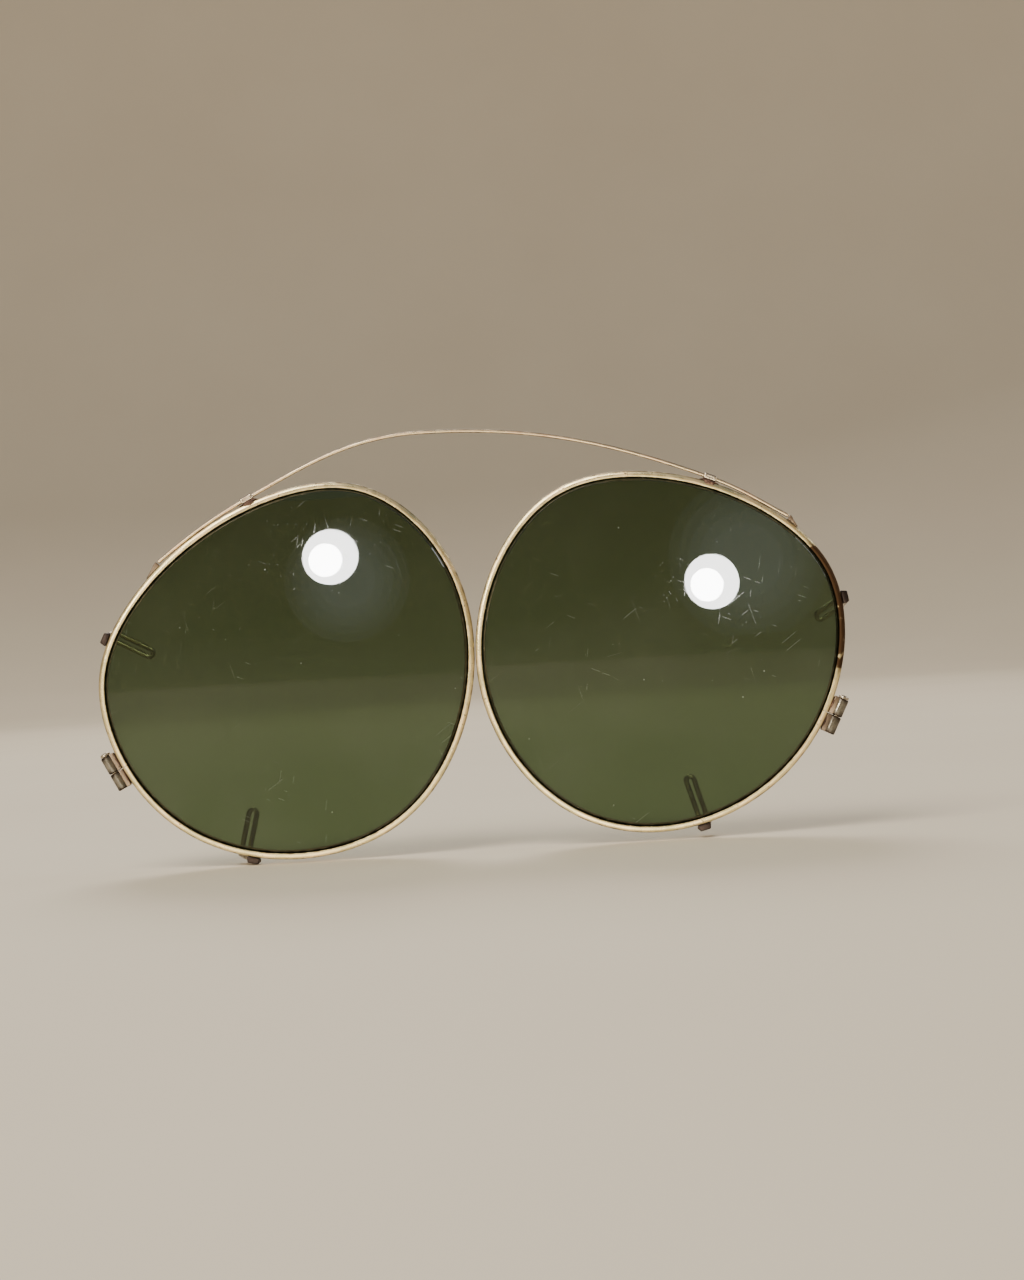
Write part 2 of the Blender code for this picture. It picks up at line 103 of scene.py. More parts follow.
LENS_BASE_RADIUS = 88.0 * MM
LENS_THICKNESS = 1.7 * MM
LENS_FRONT_TRIM = 0.13 * MM         # keeps the smooth front inside the CAD lens, which is faceted
LENS_APEX_Y = -4.5 * MM
LENS_NOSE_INSET = 0.17 * MM
LENS_NOSE_HALF = 0.1 * MM
LENS_EDGE_BEVEL = 0.75 * MM
LENS_RINGS = 26
LENS_HUB = 0.015                    # the innermost ring, as a share of the flat face
LENS_CLOSE_RINGS = (0.985, 0.996, 1.0)      # where the ground edge starts
LENS_SPOKES = 192

RIM_FACE = 0.85 * MM
RIM_DEPTH = 1.5 * MM
RIM_ROUND = 0.2 * MM
RIM_CROWN = 0.05 * MM               # how far the middle of the front face stands proud
GROOVE_FLOOR = 0.12 * MM
GROOVE_MOUTH = 0.45 * MM
RIM_STEPS = 420
RIM_WAVER = 0.018 * MM              # hand-bent unevenness
PAINTED_SHADE_ARC_FADE = 8.0                     # degrees
PAINTED_SHADE_ARC_DEPTH = 2.0                    # painted shade all over, standing in for a dark reflection

SOLDER_GAP = 0.05 * MM
SLIT = 0.08 * MM
BARREL_RADIUS = 0.82 * MM
BARREL_BORE_RADIUS = 0.50 * MM
BARREL_LENGTH = 2.56 * MM
BARREL_LIP = 0.19 * MM
# how far the painted shade reaches in from each barrel's end, by the slit
BARREL_PAINTED_SHADE_END = 0.30 * MM
BARREL_OFFSET = 1.7 * MM
BARREL_FOOT_DEPTH = 1.1 * MM
SCREW_SHANK_RADIUS = 0.43 * MM
SCREW_HEAD_RADIUS = 0.72 * MM
SCREW_HEAD_HEIGHT = 0.45 * MM
SCREW_HEAD_EDGE = 0.2 * MM
SCREW_SLOT_WIDTH = 0.24 * MM
SCREW_SLOT_DEPTH = 0.24 * MM

WIRE_RADIUS = 0.25 * MM
WIRE_OFFSET = 1.1 * MM
WIRE_END_OFFSET = 0.95 * MM
WIRE_CROWN = (-5.5 * MM, 33.0 * MM)
WIRE_TENSION = 1.12
WIRE_STEPS_PER_MM = 2.5
SLEEVE_SIZE = (1.9 * MM, 0.8 * MM, 1.15 * MM)
SLEEVE_BORE = 0.6 * MM
SLEEVE_HOLLOW = (0.6 * SLEEVE_SIZE[0], 0.46 * SLEEVE_SIZE[1], 0.2 * MM)
PAD_SPREAD = 0.95 * MM
PAD_DEPTH = 1.15 * MM
FOOT_DEPTH = 0.85 * MM

HOOK_WIRE_RADIUS = 0.37 * MM
HOOK_HALF_SPACING = 0.56 * MM
HOOK_WIDTH = 0.64 * MM              # thickness of the CAD hook, whose back the hook keeps
HOOK_CLEARANCE = 4.5 * MM
HOOK_BEND_RADIUS = 0.9 * MM
HOOK_TRIM = 0.985                   # these three keep the round wire inside the CAD hook
HOOK_OUTER_TRIM = 0.07 * MM
HOOK_BACK_TRIM = 0.03 * MM
TAB_SIZE = (0.9 * MM, 1.9 * MM, 1.3 * MM)

CAMERA_DISTANCE = 0.330             # in front of the origin
CAMERA_ROLL = 3.5                   # degrees
CAMERA_AT = (5.4 * MM, 3.2 * MM)    # in X and Z
CAMERA_LENS = 66.0                  # focal length in mm

# Where a lamp and its soft veil of light mirror in each lens, from the lens's middle.
REFLECTIONS = {
    "left": SimpleNamespace(lamp=(6.4 * MM, 15.9 * MM), veil=(8.5 * MM, 12.5 * MM), veil_size=0.48),
    "right": SimpleNamespace(lamp=(7.9 * MM, 8.8 * MM), veil=(13.0 * MM, 11.5 * MM), veil_size=0.62),
}
MIRRORED_DISTANCE = 1.0
LAMP_SIZE = 0.205
BULB_SIZE = 0.122
BULB_OFFSET = (-0.7 * MM, -0.4 * MM)
VEIL_DISCS = 5
VEIL_STEP = 0.14                    # how much smaller each next disc of the veil is

FLOOR_GAP = 0.05 * MM
SMOOTH_UNDER = 38                   # edges that turn less than this, in degrees, are shaded smooth
TURNED_STEPS = 40
WIRE_SIDES = 16

# Metals: bright where polished, worn in patches, dark in specks and, where the mesh is marked, painted
# shade at the marked points.
METALS = {
    "gold": dict(name="worn_gold", bright=(0.98, 0.85, 0.46), worn=(0.90, 0.68, 0.38),
                 dark=(0.045, 0.024, 0.012), shine=0.20, has_painted_shade=True),
    "wire": dict(name="spring_wire_gold", bright=(0.88, 0.71, 0.45), worn=(0.62, 0.43, 0.27),
                 dark=(0.06, 0.035, 0.02), shine=0.20, has_painted_shade=True, specks=0.3),
    "sleeve": dict(name="sleeve_metal", bright=(0.90, 0.80, 0.62), worn=(0.62, 0.46, 0.32),
                   dark=(0.11, 0.065, 0.045), shine=0.20, has_painted_shade=True, specks=0.4),
    "closing": dict(name="closing_metal", bright=(0.38, 0.355, 0.30), worn=(0.13, 0.115, 0.09),
                    dark=(0.030, 0.020, 0.014), shine=0.12, has_painted_shade=True),
    "foot": dict(name="brown_metal", bright=(0.30, 0.22, 0.155), worn=(0.10, 0.072, 0.054),
                 dark=(0.04, 0.025, 0.018), shine=0.30, specks=0.6),
    "solder": dict(name="dark_solder", bright=(0.115, 0.068, 0.052), worn=(0.045, 0.028, 0.022),
                   dark=(0.018, 0.012, 0.009), shine=0.38, specks=0.6),
    "tab": dict(name="blackened_metal", bright=(0.050, 0.036, 0.032), worn=(0.022, 0.016, 0.014),
                dark=(0.012, 0.009, 0.008), shine=0.34, specks=0.6),
    "hook": dict(name="hook_wire", bright=(0.66, 0.56, 0.42), worn=(0.30, 0.23, 0.15),
                 dark=(0.03, 0.02, 0.013), shine=0.20, has_painted_shade=True),
    "screw": dict(name="screw_steel", bright=(0.62, 0.55, 0.42), worn=(0.28, 0.22, 0.16),
                  dark=(0.05, 0.04, 0.03), shine=0.20, specks=0.3),
}
PATCH_CONTRAST = 0.35

GLASS_TINT = (0.074, 0.115, 0.052)
GLASS_HAZE = (0.60, 0.66, 0.58)
# the ground edge, painted near black as shade where the lens sits in the rim's groove
GLASS_EDGE_PAINTED_SHADE = (0.012, 0.015, 0.009)

# Families of scratches: turn in radians, cell of the grid, share of cells, width, strength.
SCRATCHES = (
    (0.5, (3.4 * MM, 1.2 * MM), 0.08, 0.03 * MM, 0.5),
    (1.25, (2.3 * MM, 0.9 * MM), 0.08, 0.03 * MM, 0.45),
    (1.75, (4.4 * MM, 1.6 * MM), 0.09, 0.025 * MM, 0.45),
    (2.6, (1.6 * MM, 0.7 * MM), 0.06, 0.03 * MM, 0.5),
    (0.1, (5.5 * MM, 2.4 * MM), 0.08, 0.025 * MM, 0.4),
)
# Families of dust: spacing, radius, threshold of the dusty areas, strength.
DUST = (
    (1.9 * MM, 0.13 * MM, 0.05, 0.55),
    (0.7 * MM, 0.075 * MM, 0.0, 0.3),
)


# ---------------------------------------------------------------- meshes

def smooth(mesh, degrees=SMOOTH_UNDER):
    mesh.shade_smooth()
    mesh.set_sharp_from_angle(angle=math.radians(degrees))


def finished_mesh(name, shape, degrees=SMOOTH_UNDER):
    bmesh.ops.recalc_face_normals(shape, faces=shape.faces)
    mesh = bpy.data.meshes.new(name)
    shape.to_mesh(mesh)
    shape.free()
    smooth(mesh, degrees)
    return mesh


def skin(name, rings, closed=False, degrees=SMOOTH_UNDER):
    """A surface over rings of points. It is capped at both ends, or closed on itself."""
    shape = bmesh.new()
    rows = [[shape.verts.new(point) for point in ring] for ring in rings]
    following = rows[1:] + ([rows[0]] if closed else [])
    for row, after in zip(rows, following):
        for k in range(len(row)):
            shape.faces.new((row[k - 1], row[k], after[k], after[k - 1]))
    if not closed:
        shape.faces.new(rows[0])
        shape.faces.new(rows[-1])
    return finished_mesh(name, shape, degrees)


def turned(name, profile):
    """A ring turned round the local y axis from a closed profile of (radius, height)."""
    rings = []
    for k in range(TURNED_STEPS):
        angle = TURN * k / TURNED_STEPS
        rings.append([Vector((r * math.cos(angle), h, r * math.sin(angle))) for r, h in profile])
    return skin(name, rings, closed=True)


def tube(name, points, radius):
    """A round wire along points, its ends rounded off."""
    count = len(points)
    ways = [(points[min(k + 1, count - 1)] - points[max(k - 1, 0)]).normalized() for k in range(count)]
    across = ways[0].orthogonal().normalized()
    rings = []
    for k, (point, way) in enumerate(zip(points, ways)):
        across = (across - way * across.dot(way)).normalized()
        rings.append(ring_round(point, across, way.cross(across), radius))
        if k == 0:
            start = round_end(point, -way, across, radius)
    end = round_end(points[-1], ways[-1], across, radius)
    return skin(name, list(reversed(start)) + rings + end)


def ring_round(centre, first, second, radius):
    turns = [TURN * k / WIRE_SIDES for k in range(WIRE_SIDES)]
    return [centre + (first * math.cos(t) + second * math.sin(t)) * radius for t in turns]


def round_end(point, way, across, radius):
    """Rings of a low dome beyond a wire's end, which turn the same way round as the wire's."""
    second = way.cross(across)
    rings = []
    for degrees in (30, 60, 80):
        tilt = math.radians(degrees)
        centre = point + way * radius * 0.5 * math.sin(tilt)
        rings.append(ring_round(centre, across, second, radius * math.cos(tilt)))
    return rings


def rounded_box(name, size, width, segments=3, taper=1.0):
    """A box with rounded edges. Its +x end is narrowed in y and z to taper."""
    shape = bmesh.new()
    bmesh.ops.create_cube(shape, size=1.0)
    bmesh.ops.scale(shape, vec=size, verts=shape.verts)
    for vert in shape.verts:
        if vert.co.x > 0:
            vert.co.y *= taper
            vert.co.z *= taper
    bmesh.ops.bevel(shape, geom=shape.edges[:], offset=width, segments=segments, profile=0.5,
                    affect="EDGES")
    return finished_mesh(name, shape)


def plate(name, corners, depth, width):
    """A flat outline in the local xy plane with a thickness along z and rounded edges."""
    shape = bmesh.new()
    front = [shape.verts.new((c.x, c.y, depth / 2)) for c in corners]
    back = [shape.verts.new((c.x, c.y, -depth / 2)) for c in corners]
    shape.faces.new(front)
    shape.faces.new(reversed(back))
    for k in range(len(corners)):
        shape.faces.new((front[k - 1], back[k - 1], back[k], front[k]))
    bmesh.ops.recalc_face_normals(shape, faces=shape.faces)
    sharp = [e for e in shape.edges if e.calc_face_angle() > 0.6]
    bmesh.ops.bevel(shape, geom=sharp, offset=width, segments=3, profile=0.5, affect="EDGES")
    return finished_mesh(name, shape)


def blob(name, size, waver, seed):
    """A drop of solder: a flattened ball with an uneven surface."""
    shape = bmesh.new()
    bmesh.ops.create_icosphere(shape, subdivisions=4, radius=0.5)
    for vert in shape.verts:
        uneven = noise.noise(vert.co * 4 + Vector((seed, 0, 0)))
        vert.co *= 1 + waver * uneven
    bmesh.ops.scale(shape, vec=size, verts=shape.verts)
    return finished_mesh(name, shape, degrees=60)


def cut(mesh, tool):
    """The mesh less another, both in one frame."""
    body = bpy.data.objects.new("cut_body", mesh)
    cutter = bpy.data.objects.new("cut_tool", tool)
    for item in (body, cutter):
        SCENE.collection.objects.link(item)
    modifier = body.modifiers.new("cut", "BOOLEAN")
    modifier.object = cutter
    bpy.context.view_layer.update()
    evaluated = body.evaluated_get(bpy.context.evaluated_depsgraph_get())
    result = bpy.data.meshes.new_from_object(evaluated)
    for item in (body, cutter):
        bpy.data.objects.remove(item)
    smooth(result)
    return result


def roughen(mesh, height, spacing, seed):
    """Moves the surface in and out a little, unevenly."""
    shift = Vector((seed, seed, seed))
    moves = [v.normal * height * noise.noise(v.co / spacing + shift) for v in mesh.vertices]
    for vertex, move in zip(mesh.vertices, moves):
        vertex.co += move


def tarnish(mesh, rule):
    """Marks each point for painted shade by a rule: 0 none, 1 painted dark in blotches or on the lens's
    ground edge, 2 painted dark all over.
    """
    layer = mesh.attributes.new("tarnish", "FLOAT", "POINT")
    layer.data.foreach_set("value", [min(2.0, max(0.0, rule(vertex))) for vertex in mesh.vertices])


def new_piece(name, mesh, matrix, material, body, slot, *nodes):
    """Puts a mesh into the scene, in the part's frame. It rides on the body, if it has one."""
    mesh.transform(matrix)
    mesh.materials.clear()
    mesh.materials.append(material)
    piece = bpy.data.objects.new(name, mesh)
    SCENE.collection.objects.link(piece)
    if body:
        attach(piece, body)
    if nodes:
        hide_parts(*nodes)
    return piece


# ---------------------------------------------------------------- outline of an eye

def outline_point(eye, angle, outset=0.0):
    """The rim's centre line where its normal is at angle, moved outset along the normal."""
    reach = eye.radius + outset
    slide = 0.0
    for order, height, peak in eye.lobes:
        phase = order * (angle - math.radians(peak))
        reach += height * MM * math.cos(phase)
        slide -= order * height * MM * math.sin(phase)
    out = reach * math.cos(angle) - slide * math.sin(angle)
    up = reach * math.sin(angle) + slide * math.cos(angle)
    return Vector((eye.side * out, up, 0.0))


def dish(point):
    """How far the dished surface falls back at a point of the eye, from the lens's middle."""
    return -(point.x ** 2 + point.y ** 2) / (2 * LENS_BASE_RADIUS)


def eye_matrix(eye):
    place_in_world = Matrix.Translation((eye.centre[0], LENS_APEX_Y, eye.centre[1]))
    return place_in_world @ Matrix.Rotation(math.pi / 2, 4, "X")


def rim_matrix(eye, degrees):
    """A frame on the rim's centre line: x outwards, y along the rim, z to the front."""
    angle = math.radians(degrees)
    point = outline_point(eye, angle)
    point.z = dish(point)
    direction = angle if eye.side > 0 else math.pi - angle
    return eye_matrix(eye) @ Matrix.Translation(point) @ Matrix.Rotation(direction, 4, "Z")


# ---------------------------------------------------------------- rims and lenses

def arc(centre, radius, first, last, steps):
    """Points (x, y) round a corner, between two directions in degrees."""
    turns = [math.radians(first + (last - first) * k / steps) for k in range(steps + 1)]
    return [(centre[0] + radius * math.cos(t), centre[1] + radius * math.sin(t)) for t in turns]


def rim_section():
    """The bar's section as (outwards, forwards, painted shade), with the groove on the inside."""
    half_face = RIM_FACE / 2
    half_depth = RIM_DEPTH / 2
    flat = half_face - RIM_ROUND
    shoulder = half_depth - RIM_CROWN - RIM_ROUND
    outer = arc((flat, shoulder), RIM_ROUND, 0, 80, 5)
    inner = arc((-flat, shoulder), RIM_ROUND, 100, 180, 5)
    # the rounded edges and the outer wall are painted dark as a dark reflection, the groove as painted
    # shade with grime; the middle of the front stays clean
    front = [(x, y, 1.0 - 0.08 * k) for k, (x, y) in enumerate(outer)]
    for k in range(1, 8):
        share = 1 - k / 4
        front.append((flat * share, half_depth - RIM_CROWN * share * share, 0.3 * share ** 4))
    front += [(x, y, 0.5 + 0.1 * k) for k, (x, y) in enumerate(inner)]
    groove = [(-half_face, GROOVE_MOUTH, 1.0), (-GROOVE_FLOOR, GROOVE_FLOOR, 1.0)]
    upper = front + groove
    lower = [(x, -y, t) for x, y, t in reversed(upper)]
    side = [(half_face, y, 0.7) for y in (-0.3 * MM, 0.0, 0.3 * MM)]
    return upper + lower + side


def make_rim(eye, body, material):
    """The grooved bar round the lens, from one side of the slit to the other."""
    section = rim_section()
    opening = SLIT / 2 / eye.radius
    start = math.radians(eye.closing) + opening
    sweep = TURN - 2 * opening
    rings = []
    for k in range(RIM_STEPS + 1):
        angle = start + sweep * k / RIM_STEPS
        ring = []
        for x, y, _ in section:
            point = outline_point(eye, angle, x)
            point.z = y + dish(point)
            ring.append(point)
        rings.append(ring)
    mesh = skin(f"{eye.name}_eyewire", rings)
    values = [t for _, _, t in section]
    # an arc of the rim is painted dark all over, as shade standing in for a dark reflection
    middle, half_length = eye.painted_shade_arc

    def rim_painted_shade(vertex):
        ring, place = divmod(vertex.index, len(values))
        degrees = math.degrees(start + sweep * ring / RIM_STEPS)
        away = abs((degrees - middle + 180) % 360 - 180)
        share = min(1.0, max(0.0, (half_length - away) / PAINTED_SHADE_ARC_FADE))
        return max(values[place], PAINTED_SHADE_ARC_DEPTH * share)

    tarnish(mesh, rim_painted_shade)
    roughen(mesh, height=RIM_WAVER, spacing=1.3 * MM, seed=eye.side)
    new_piece(mesh.name, mesh, eye_matrix(eye), material, body, "gold", f"{eye.name}_rim")


def make_lens(eye, body, material):
    """The dished plate, ground to a pointed edge that sits in the rim's groove."""
    half = LENS_THICKNESS / 2
    flat_inset = LENS_NOSE_INSET + LENS_EDGE_BEVEL
    angles = [TURN * k / LENS_SPOKES for k in range(LENS_SPOKES)]
    face = [outline_point(eye, angle, -flat_inset) for angle in angles]
    shares = [LENS_HUB, *(k / LENS_RINGS for k in range(1, LENS_RINGS)), *LENS_CLOSE_RINGS]
    front_z = Vector((0, 0, half - LENS_FRONT_TRIM))
    back_z = Vector((0, 0, -half))
    front = [[point * share + front_z for point in face] for share in shares]
    back = [[point * share + back_z for point in face] for share in reversed(shares)]
    nose = [[outline_point(eye, angle, -LENS_NOSE_INSET) + Vector((0, 0, z)) for angle in angles]
            for z in (LENS_NOSE_HALF, -LENS_NOSE_HALF)]
    rings = front + nose + back
    for ring in rings:
        for point in ring:
            point.z += dish(point)
    mesh = skin(f"{eye.name}_tinted_lens", rings, degrees=25)
    first_ground = len(front) - 1
    last_ground = len(front) + len(nose)
    # the ground edge is marked for painted shade
    tarnish(mesh, lambda vertex: first_ground <= vertex.index // LENS_SPOKES <= last_ground)
    return new_piece(mesh.name, mesh, eye_matrix(eye), material, body, "glass", f"{eye.name}_lens")


# ---------------------------------------------------------------- closings

def barrel_name(eye, label):
    return f"{eye.name}_{label}_barrel"


def barrel_middle(eye, label):
    """How far a barrel's middle lies from the slit, along the rim."""
    return eye.side * (1 if label == "upper" else -1) * (SLIT + BARREL_LENGTH) / 2


def make_barrel(eye, label, body, material):
    """A bored tube with softened ends."""
    name = barrel_name(eye, label)
    along = barrel_middle(eye, label)
    half = BARREL_LENGTH / 2
    lip_at = (BARREL_RADIUS - BARREL_LIP, half - BARREL_LIP)
    top = arc(lip_at, BARREL_LIP, 90, 0, 4)
    middle = [(BARREL_RADIUS, 0.3 * half), (BARREL_RADIUS, -0.3 * half)]
    bottom = [(r, -h) for r, h in reversed(top)]
    profile = [(BARREL_BORE_RADIUS, half), *top, *middle, *bottom, (BARREL_BORE_RADIUS, -half)]
    barrel = turned(name, profile)
    shade_from = half - BARREL_PAINTED_SHADE_END
    fade = 0.1 * MM
    # painted shade at the ends, in the slit between the barrels, and on the sides facing out from the rim
    # and back towards it
    tarnish(barrel, lambda v: max((abs(v.co.y) - shade_from) / fade, 2.2 * abs(v.normal.x) - 1.2))
    roughen(barrel, height=0.012 * MM, spacing=0.5 * MM, seed=along / MM)
    at = rim_matrix(eye, eye.closing) @ Matrix.Translation((BARREL_OFFSET, along, 0.0))
    new_piece(name, barrel, at, material, body, "closing", f"{eye.name}_closing_{label}")


def make_barrel_foot(eye, label, body, materials):
    """The block between a barrel and the rim, and the seam of solder along it."""
    name = barrel_name(eye, label)
    along = barrel_middle(eye, label)
    frame_at = rim_matrix(eye, eye.closing)
    inner = RIM_FACE / 2 + SOLDER_GAP
    outer = BARREL_OFFSET - BARREL_BORE_RADIUS
    foot_size = (outer - inner, BARREL_LENGTH, BARREL_FOOT_DEPTH)
    foot = rounded_box(f"{name}_foot", foot_size, width=0.12 * MM)
    foot_at = frame_at @ Matrix.Translation(((outer + inner) / 2, along, 0.0))
    new_piece(foot.name, foot, foot_at, materials["foot"], body, "closing")
    seam_size = (0.5 * MM, BARREL_LENGTH * 0.96, 1.3 * MM)
    seam = blob(f"{name}_seam", seam_size, waver=0.1, seed=along / MM)
    seam_at = frame_at @ Matrix.Translation((inner + 0.05 * MM, along, 0.0))
    new_piece(seam.name, seam, seam_at, materials["solder"], body, "solder")


def make_closing_screw(eye, body, material):
    """The slotted screw through both barrels. Its head is over the upper one."""
    name = f"{eye.name}_slotted_screw"
    top = SLIT / 2 + BARREL_LENGTH + SOLDER_GAP
    head_top = top + SCREW_HEAD_HEIGHT
    tip = -SLIT / 2 - BARREL_LENGTH
    core = 0.02 * MM
    dome_height = SCREW_HEAD_HEIGHT - SCREW_HEAD_EDGE
    dome = [(SCREW_HEAD_RADIUS * math.cos(t), top + SCREW_HEAD_EDGE + dome_height * math.sin(t))
            for t in (math.radians(d) for d in (0, 20, 40, 60, 75))]
    profile = [(core, head_top)] + dome[::-1] + [
        (SCREW_HEAD_RADIUS, top), (SCREW_SHANK_RADIUS, top), (SCREW_SHANK_RADIUS, tip), (core, tip)]
    if eye.side < 0:
        profile = [(r, -h) for r, h in profile]
    at = rim_matrix(eye, eye.closing) @ Matrix.Translation((BARREL_OFFSET, 0.0, 0.0))
    screw = turned(name, profile)
    slot_size = (3 * SCREW_HEAD_RADIUS, 2 * SCREW_SLOT_DEPTH, SCREW_SLOT_WIDTH)
    slot = rounded_box(f"{name}_slot", slot_size, width=0.02 * MM, segments=1)
    slot.transform(Matrix.Translation((0.0, eye.side * head_top, 0.0)))
    new_piece(name, cut(screw, slot), at, material, body, "screw", f"{eye.name}_closing_screw")


# ---------------------------------------------------------------- spring wire and its seats

def wire_y():
    low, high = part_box("bridge_spring_wire")
    return (low.y + high.y) / 2


def wire_knot(eye, degrees, outset, slope):
    """A point of the spring wire over the rim, and its direction towards +X, in X and Z."""
    point = outline_point(eye, math.radians(degrees), outset)
    at = Vector((eye.centre[0] + point.x, eye.centre[1] + point.y))
    rise = math.radians(-eye.side * slope)
    return at, Vector((math.cos(rise), math.sin(rise)))


def wire_half(eye):
    """Points on a smooth curve from the wire's crown over the sleeve to its end on one eye."""
    knots = [
        (Vector(WIRE_CROWN), Vector((1.0, 0.0))),
        wire_knot(eye, eye.guide, WIRE_OFFSET, eye.guide_slope),
        wire_knot(eye, eye.foot, WIRE_END_OFFSET, eye.foot_slope),
    ]
    points = []
    for (start, leave), (end, arrive) in zip(knots, knots[1:]):
        chord = (end - start).length
        pull = WIRE_TENSION * chord * eye.side
        steps = round(chord / MM * WIRE_STEPS_PER_MM)
        for k in range(steps):
            t = k / steps
            points.append(
                (1 + 2 * t) * (1 - t) ** 2 * start + t * (1 - t) ** 2 * pull * leave
                + t * t * (3 - 2 * t) * end - t * t * (1 - t) * pull * arrive)
    points.append(knots[-1][0])
    return [Vector((point.x, wire_y(), point.y)) for point in points]


def make_wire(eye, material):
    """Half of the spring wire, curving from the crown over the eye's sleeve to its end."""
    points = wire_half(eye)
    stop = points[-1] - (points[-1] - points[-2]).normalized() * WIRE_RADIUS * 0.5
    mesh = tube(f"{eye.name}_half_of_spring_wire", points[:-1] + [stop], WIRE_RADIUS)
    # painted shade along the wire's upper and lower sides
    tarnish(mesh, lambda vertex: 1.5 * abs(vertex.normal.z) - 0.35)
    piece = new_piece(mesh.name, mesh, Matrix(), material, None, "gold", "bridge_spring_wire")
    sleeve, _ = wire_knot(eye, eye.guide, WIRE_OFFSET, eye.guide_slope)
    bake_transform(piece)


def sleeve_matrix(eye):
    """At the wire in its guide: x along the wire, y up, z to the front."""
    at, along = wire_knot(eye, eye.guide, WIRE_OFFSET, eye.guide_slope)
    rise = math.atan2(along.y, along.x)
    upright = Matrix.Translation((at.x, wire_y(), at.y)) @ Matrix.Rotation(math.pi / 2, 4, "X")
    return upright @ Matrix.Rotation(rise, 4, "Z")


def wire_plane_matrix(eye):
    """The eye's own frame, moved back to the wire's plane."""
    return eye_matrix(eye) @ Matrix.Translation((0.0, 0.0, LENS_APEX_Y - wire_y()))


def make_sleeve(eye, body, material):
    """The small square sleeve. Its front is a little hollow."""
    name = f"{eye.name}_square_sleeve"
    outer = rounded_box(name, SLEEVE_SIZE, width=0.24 * MM, segments=5)
    bore_size = (2 * SLEEVE_SIZE[0], SLEEVE_BORE, SLEEVE_BORE)
    bore = rounded_box(f"{name}_bore", bore_size, width=0.08 * MM)
    hollow = rounded_box(f"{name}_hollow", SLEEVE_HOLLOW, width=0.09 * MM, segments=4)
    hollow.transform(Matrix.Translation((0.0, 0.0, SLEEVE_SIZE[2] / 2)))
    sleeve = cut(cut(outer, bore), hollow)
    hollow_from, hollow_to = 0.4 * MM, SLEEVE_SIZE[2] / 2 - 0.05 * MM
    side_from = 0.3 * MM
    # painted shade in the hollow of the front and on the upper and lower sides
    tarnish(sleeve, lambda v: 0.7 * (hollow_from < v.co.z < hollow_to) + 1.1 * (abs(v.co.y) > side_from))
    roughen(sleeve, height=0.05 * MM, spacing=0.4 * MM, seed=eye.side)
    new_piece(name, sleeve, sleeve_matrix(eye), material, body, "gold", f"{eye.name}_wire_sleeve")


def make_sleeve_pad(eye, body, material):
    """The solder between the rim and the sleeve, and what ran out of it over the rim's front."""
    name = f"{eye.name}_solder_pad"
    to_eye = eye_matrix(eye).inverted() @ sleeve_matrix(eye)
    under = -SLEEVE_SIZE[1] / 2 - SOLDER_GAP * 0.2
    half = SLEEVE_SIZE[0] / 2 * 0.9
    tops = [to_eye @ Vector((x, under, 0.0)) for x in (-half * eye.side, half * eye.side)]
    outset = RIM_FACE / 2 + SOLDER_GAP
    step = PAD_SPREAD / eye.radius
    seat = [outline_point(eye, math.radians(eye.guide) + k * step, outset) for k in (-1, -0.5, 0, 0.5, 1)]
    pad = plate(name, seat + tops, PAD_DEPTH, width=0.09 * MM)
    roughen(pad, height=0.03 * MM, spacing=0.4 * MM, seed=eye.side)
    new_piece(name, pad, wire_plane_matrix(eye), material, body, "solder", f"{eye.name}_sleeve_pad")
    run_size = (1.5 * MM, 0.75 * MM, 0.3 * MM)
    run = blob(f"{eye.name}_solder_run", run_size, waver=0.3, seed=eye.side)
    on_rim = Matrix.Translation((0.36 * MM, 0.0, RIM_DEPTH / 2 - 0.1 * MM))
    along_rim = Matrix.Rotation(math.pi / 2, 4, "Z")
    run_at = rim_matrix(eye, eye.guide) @ on_rim @ along_rim
    new_piece(run.name, run, run_at, material, body, "solder")


def make_wire_foot(eye, body, material):
    """The little wedge on the rim that stops the wire's end."""
    name = f"{eye.name}_wire_stop"
    near = math.radians(eye.foot) - 2 * SOLDER_GAP / eye.radius
    low = RIM_FACE / 2 + SOLDER_GAP
    profile = ((0.0, WIRE_END_OFFSET + WIRE_RADIUS), (0.35 * MM, 1.12 * MM), (0.7 * MM, 0.9 * MM),
               (1.6 * MM, RIM_FACE / 2 + 0.15 * MM))
    seat = [(along, low) for along, _ in reversed(profile)]
    outline = [outline_point(eye, near - along / eye.radius, outset) for along, outset in [*profile, *seat]]
    wedge = plate(name, outline, FOOT_DEPTH, width=0.08 * MM)
    new_piece(name, wedge, wire_plane_matrix(eye), material, body, "gold", f"{eye.name}_wire_foot")


# ---------------------------------------------------------------- hooks

def make_hook_tab(eye, label, hook, body, material):
    """The filed block outside the rim, narrower at its outer face."""
    name = f"{eye.name}_{label}_tab"
    outset = RIM_FACE / 2 + SOLDER_GAP + TAB_SIZE[0] / 2
    at = rim_matrix(eye, hook.angle) @ Matrix.Translation((outset, 0.0, 0.0))
    tab = rounded_box(name, TAB_SIZE, width=0.18 * MM, taper=0.82)
    roughen(tab, height=0.03 * MM, spacing=0.5 * MM, seed=hook.angle)
    new_piece(name, tab, at, material, body, "solder", f"{eye.name}_{label}_hook_tab")


def arc_points(centre, start, end, swing, steps):
    turns = [swing * k / steps for k in range(steps + 1)]
    return [centre + start * math.cos(t) + end * math.sin(t) for t in turns]


